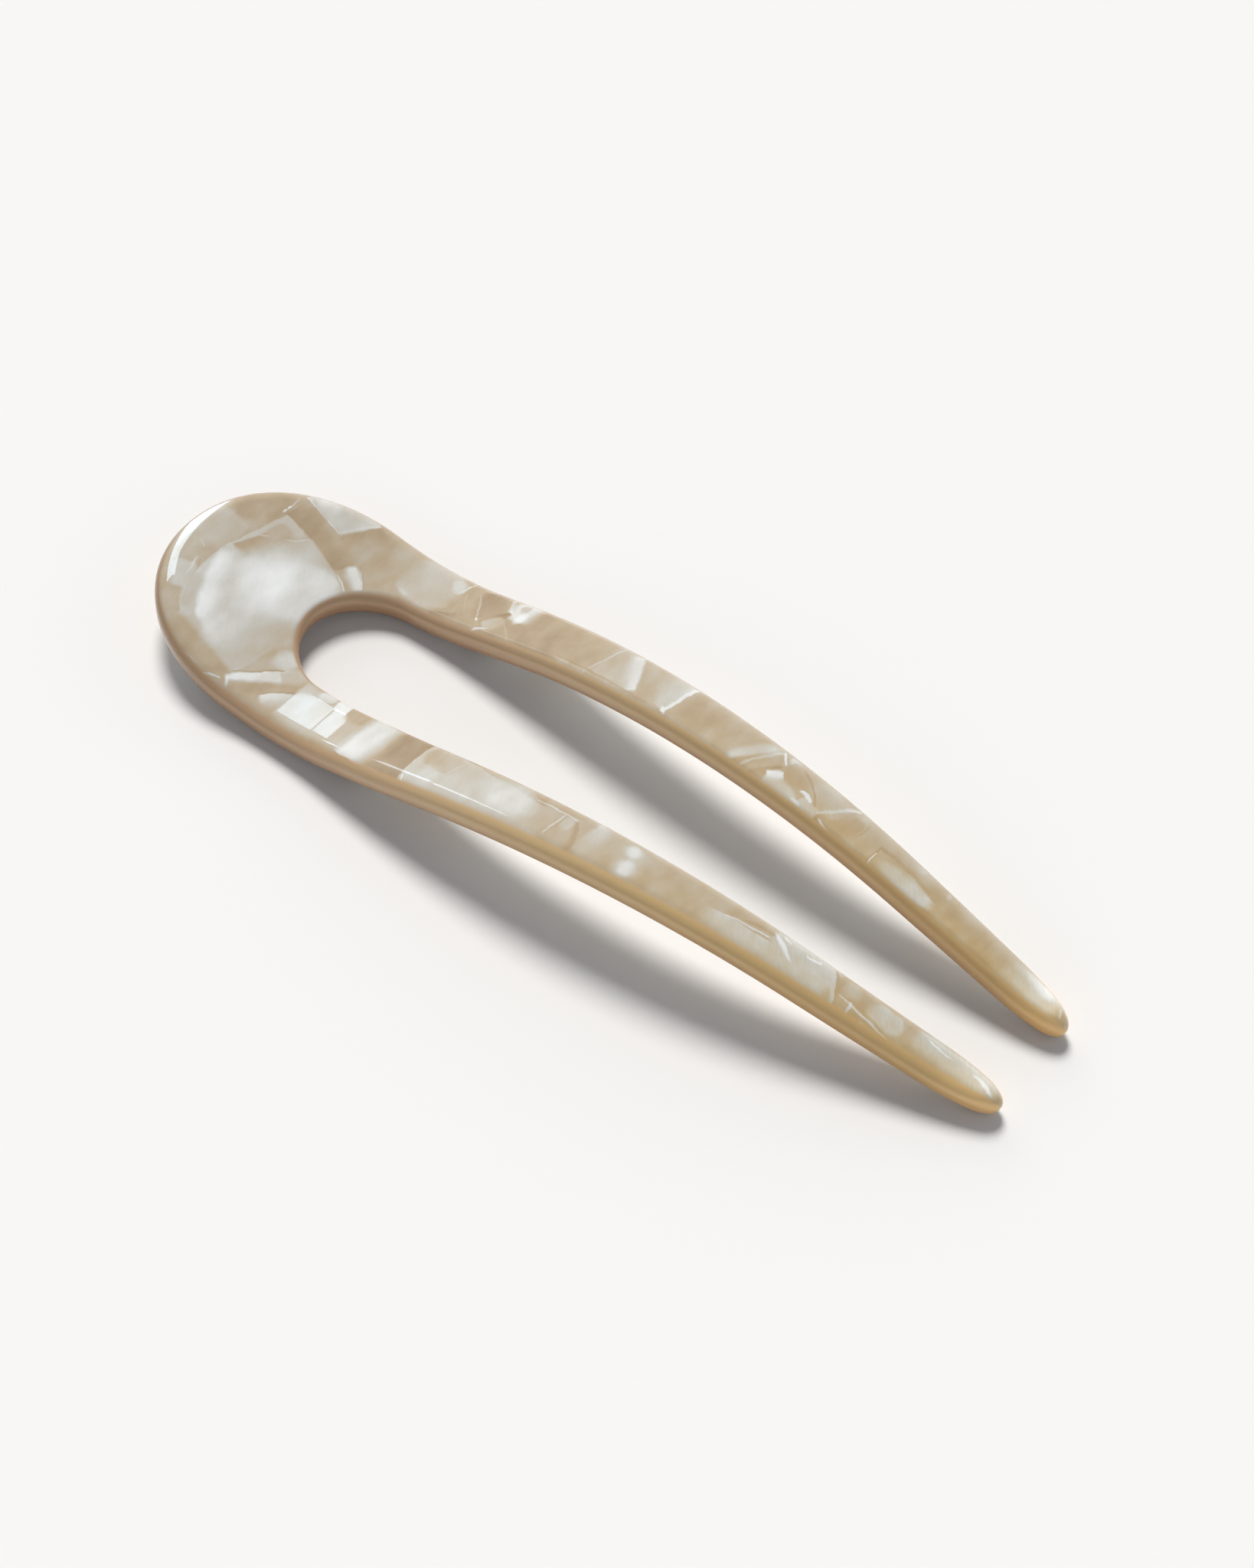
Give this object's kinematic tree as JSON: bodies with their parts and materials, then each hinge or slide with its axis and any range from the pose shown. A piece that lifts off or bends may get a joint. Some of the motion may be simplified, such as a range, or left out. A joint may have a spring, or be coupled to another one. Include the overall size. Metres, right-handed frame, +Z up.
{
  "type": "french hair pin",
  "caption": "U-shaped hair pin of pearly acetate: a round head, an open slot and tapering prongs, arched to hold a bun or twist of hair.",
  "frame": {"origin": "on the surface that the pin lies on, under the middle of its bounding box", "axes": "+X along the pin from the end of the head to the tips of the prongs, +Z up, +Y across the pin"},
  "size_m": [0.1352, 0.036, 0.0118],
  "materials": {
    "pearl_acetate": "polished pearly cellulose acetate with folded nacre-like flakes inside and warm tan edges"
  },
  "bodies": {
    "root": {"pin": "pearl_acetate"}
  },
  "joints": []
}
